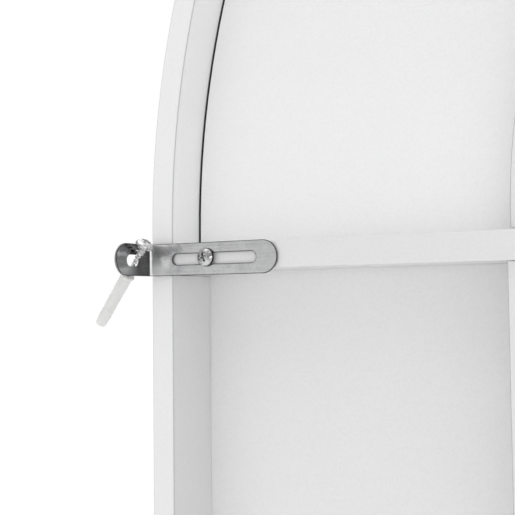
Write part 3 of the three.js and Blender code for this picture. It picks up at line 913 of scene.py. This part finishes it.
def plug_profile():
    """A nylon plug's section from the top: a rounded collar, a smooth neck, then shallow barbs to the tip."""
    collar, body, tip, bore, length = (PLUG[k] for k in ("collar", "body", "tip", "bore", "length"))
    points = [(bore, 0), (collar - 0.3 * MM, 0), (collar - 0.08 * MM, -0.1 * MM), (collar, -0.35 * MM)]
    points += [(collar, -0.85 * MM), (collar - 0.15 * MM, -1.15 * MM)]
    points += [(body + 0.2 * MM, -1.5 * MM), (body, -2.0 * MM)]
    first, last = PLUG["neck"], length - PLUG["end"]
    pitch = (last - first) / PLUG_BARBS
    for i in range(PLUG_BARBS):
        z = first + i * pitch
        points += [(body, -z), (body - 0.28 * MM, -z - 0.35 * MM)]
        points += [(body - 0.22 * MM, -z - pitch * 0.35), (body, -z - pitch * 0.85)]
    points += [(body, -last), (tip, -length + 0.6 * MM), (tip - 0.3 * MM, -length), (bore, -length)]
    return points


def build_plug(name, mouth, direction, material):
    obj = new_object(f"{name}_moulded", lathe(name, plug_profile()), material)
    low, high = -PLUG["length"] - MM, -PLUG_SLIT["begins"]
    wide, thin = PLUG["body"] + MM, PLUG_SLIT["half_width"]
    carve(obj, [block_mesh((-wide, -thin, low), (wide, thin, high))])
    obj.data.transform(aim(mouth, direction) @ Matrix.Rotation(math.radians(PLUG_TURN), 4, "Z"))
    smooth(obj, 45)
    dress(obj, "plug_nylon", name, name)


def cap_mesh(name, radius):
    """A screw cap: a low dome with a rounded rim on a short stem."""
    proud, stem = CAP["proud"], CAP["stem"]
    dome = ((0.3, 1), (0.6, 0.97), (0.85, 0.9), (0.94, 0.78), (0.985, 0.55), (1, 0.25), (1, 0))
    rows = [(share * radius, height * proud) for share, height in dome]
    rows += [(stem, 0.0), (stem, -CAP["deep"])]
    turns = [2 * math.pi * k / TURNED_SIDES for k in range(TURNED_SIDES)]
    bm, _ = loft([[(r * math.cos(a), r * math.sin(a), h) for a in turns] for r, h in rows])
    return mesh_from(bm, name)


def build_cap(node, material):
    low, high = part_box(node)
    radius, y, z = (high.z - low.z) / 2, (low.y + high.y) / 2, (low.z + high.z) / 2
    side = -1 if low.x < 0 else 1
    face = low.x + CAP["proud"] if side < 0 else high.x - CAP["proud"]
    obj = new_object(f"{node}_moulded", cap_mesh(node, radius), material)
    obj.data.transform(aim((face, y, z), (-side, 0, 0)))
    smooth(obj, 45)
    dress(obj, "cap_plastic", "frame", node)


def build_fixings(slot_steels, wall_steels, plug_material, cap_material):
    joints = {j["name"]: j for j in frame["joints"]}
    for side in ("left", "right"):
        low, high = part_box(f"slot_screw_{side}")
        seat = Vector(((low.x + high.x) / 2, high.y - SLOT_THREAD["length"], (low.z + high.z) / 2))
        build_screw(f"slot_screw_{side}", SLOT_THREAD, seat, (0, 1, 0), SLOT_SCREW_TURN, slot_steels)
        hang = Vector(joints[f"wall_screw_{side}_swing"]["pos_m"])
        along = Vector(joints[f"wall_plug_{side}_pull"]["axis"])
        seat = hang - along * WALL_SCREW_BACK
        build_screw(f"wall_screw_{side}", WALL_THREAD, seat, along, WALL_SCREW_TURN, wall_steels)
        build_plug(f"wall_plug_{side}", hang + along * PLUG["start"], along, plug_material)
        for cap in ("rail_cap", "base_cap"):
            build_cap(f"{cap}_{side}", cap_material)


# ---------------------------------------------------------------- studio


def build_floor():
    bm = bmesh.new()
    bmesh.ops.create_grid(bm, x_segments=8, y_segments=8, size=FLOOR_REACH)
    floor = new_object("floor", mesh_from(bm, "floor"))
    floor.data.materials.append(pale_floor())


def soft_box(tree, direction, low, high, strength):
    """Light from around one world direction: none below the cosine low, all of it above the cosine high."""
    place = tree.nodes.new("ShaderNodeTexCoord")
    dot = tree.nodes.new("ShaderNodeVectorMath")
    dot.operation = "DOT_PRODUCT"
    dot.inputs[1].default_value = Vector(direction).normalized()
    share = tree.nodes.new("ShaderNodeMapRange")
    share.interpolation_type = "SMOOTHSTEP"
    share.inputs["From Min"].default_value = low
    share.inputs["From Max"].default_value = high
    share.inputs["To Max"].default_value = strength
    tree.links.new(place.outputs["Generated"], dot.inputs[0])
    tree.links.new(dot.outputs["Value"], share.inputs["Value"])
    return share.outputs["Result"]


def build_world():
    """A white studio: faint light from everywhere, soft boxes on top of it, and a plain backdrop."""
    world = bpy.data.worlds.new("studio")
    world.use_nodes = True
    bpy.context.scene.world = world
    tree = world.node_tree
    total = None
    for box in SOFT_BOXES:
        added = soft_box(tree, *box)
        if total:
            both = tree.nodes.new("ShaderNodeMath")
            both.operation = "ADD"
            tree.links.new(total, both.inputs[0])
            tree.links.new(added, both.inputs[1])
            added = both.outputs["Value"]
        total = added
    path = tree.nodes.new("ShaderNodeLightPath")
    seen = tree.nodes.new("ShaderNodeMix")
    seen.inputs["B"].default_value = BACKDROP
    tree.links.new(path.outputs["Is Camera Ray"], seen.inputs["Factor"])
    tree.links.new(total, seen.inputs["A"])
    tree.links.new(seen.outputs["Result"], tree.nodes["Background"].inputs["Strength"])
    tree.nodes["Background"].inputs["Color"].default_value = (1, 1, 1, 1)


def build_strip():
    """A long low strip light to the right of the camera, for the line of light along the bracket's bend."""
    lamp = bpy.data.lights.new("strip", "AREA")
    lamp.shape = "RECTANGLE"
    lamp.size, lamp.size_y = STRIP["width"], STRIP["height"]
    lamp.energy = STRIP["power"]
    strip = new_object("strip", lamp)
    away = Vector(STRIP["away"])
    strip.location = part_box("bracket_left")[0] + away
    strip.rotation_mode = "QUATERNION"
    strip.rotation_quaternion = away.to_track_quat("Z", "Y")
    strip.visible_camera = False


def build_camera():
    azimuth, rise, roll = (math.radians(a) for a in (CAMERA_AZIMUTH, CAMERA_RISE, CAMERA_ROLL))
    level_forward = Vector((-math.sin(azimuth), math.cos(azimuth), 0))
    level_right = Vector((math.cos(azimuth), math.sin(azimuth), 0))
    forward = level_forward * math.cos(rise) + Vector((0, 0, math.sin(rise)))
    up = Vector((0, 0, math.cos(rise))) - level_forward * math.sin(rise)
    right_axis = level_right * math.cos(roll) + up * math.sin(roll)
    up_axis = up * math.cos(roll) - level_right * math.sin(roll)
    lens = bpy.data.cameras.new("camera")
    lens.lens = CAMERA_LENS
    lens.clip_start, lens.clip_end = CAMERA_CLIP
    camera = new_object("camera", lens)
    turn = Matrix((right_axis, up_axis, -forward)).transposed().to_4x4()
    camera.matrix_world = Matrix.Translation(CAMERA_PLACE) @ turn
    bpy.context.scene.camera = camera


# ---------------------------------------------------------------- assembly

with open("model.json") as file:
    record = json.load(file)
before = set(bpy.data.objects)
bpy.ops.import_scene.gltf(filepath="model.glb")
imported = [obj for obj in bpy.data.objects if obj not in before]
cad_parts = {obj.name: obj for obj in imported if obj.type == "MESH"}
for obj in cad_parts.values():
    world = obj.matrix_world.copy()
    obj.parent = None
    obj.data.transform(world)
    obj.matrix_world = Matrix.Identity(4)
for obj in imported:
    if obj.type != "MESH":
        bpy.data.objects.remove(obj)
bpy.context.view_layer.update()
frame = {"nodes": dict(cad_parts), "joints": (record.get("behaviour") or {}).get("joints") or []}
RAIL_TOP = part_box("cross_rail")[1].z
BOARD = RAIL_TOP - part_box("cross_rail")[0].z
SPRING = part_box("arch_left")[1].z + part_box("arch_left")[0].x
DOWEL_RADIUS = (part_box("crown_dowel")[1].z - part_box("crown_dowel")[0].z) / 2
DOWEL_HALF = (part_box("rail_dowel_left")[1].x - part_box("rail_dowel_left")[0].x) / 2

seam = lacquer("band_seam", TONES["seam"], SEAM_ROUGH)
# The arch's inner face: its board's lacquer set lighter as painted light, with painted light at its foot and
# painted shade in the panel's gap.
arch_inside_painted_light = lacquer("white_arch_inside_painted_light_and_shade", TONES["arch_inside_painted_light"], shade=painted_light_and_gap_shade)
arch_board = [lacquer("white_arch", TONES["arch"]), seam, arch_inside_painted_light]
# The stile's inner face: its board's lacquer set darker, as painted shade under the cross rail.
stile_inside_painted_shade = lacquer("white_stile_inside_painted_shade", TONES["stile_inside_painted_shade"])
stile_board = [lacquer("white_stile", TONES["stile"]), seam, stile_inside_painted_shade]
inner_board = [lacquer("white_inner_board", TONES["inner_board"]), seam]
# The thick panel carries painted light just above the cross rail.
thick_panel = lacquer("white_panel", TONES["panel"], PANEL_ROUGH, painted_light_above_rail)
thin_panel = lacquer("white_back_sheet", TONES["back_sheet"], PANEL_ROUGH)
zinc = zinc_plate()
sheared = sheared_steel("sheared_steel", *SHEARED_TONES)
# The plate's arrises: sheared steel set nearly black, as painted shade.
arris_painted_shade = sheared_steel("arris_painted_shade", *ARRIS_PAINTED_SHADE_TONES)
steel = screw_steel("screw_steel", *SCREW_TONES["steel"])
painted_light_steel = screw_steel("painted_light_screw_steel", *SCREW_TONES["painted_light"])
thread_steel = screw_steel("thread_steel", *SCREW_TONES["thread"])
shaded_steel = screw_steel("shaded_screw_steel", *SCREW_TONES["shaded"])
wood = beech()
plug_white = nylon("plug_nylon", **PLUG_FINISH)
cap_white = nylon("cap_plastic", **CAP_FINISH)

build_rails(inner_board[:1])
build_uprights(stile_board, inner_board)
build_arches(arch_board, inner_board, [thick_panel, thick_panel, raw_edge_painted_shade()])
build_panels(thick_panel, thin_panel)
build_bracket(zinc, sheared, arris_painted_shade)
# Slot screws: dome, brim in shaded steel as painted shade, then recess and shank. Wall screws: the dome in a
# lighter steel as painted light, then brim, recess and thread.
slot_steels = [steel, shaded_steel, steel]
wall_steels = [painted_light_steel, thread_steel, thread_steel]
build_fixings(slot_steels, wall_steels, plug_white, cap_white)

for node, obj in frame["nodes"].items():
    if obj.hide_render:
        continue
    obj.data.materials.clear()
    obj.data.materials.append(steel if "confirmat" in node else wood)

build_floor()
build_world()
build_strip()
build_camera()
bpy.context.scene.view_settings.view_transform = "Standard"
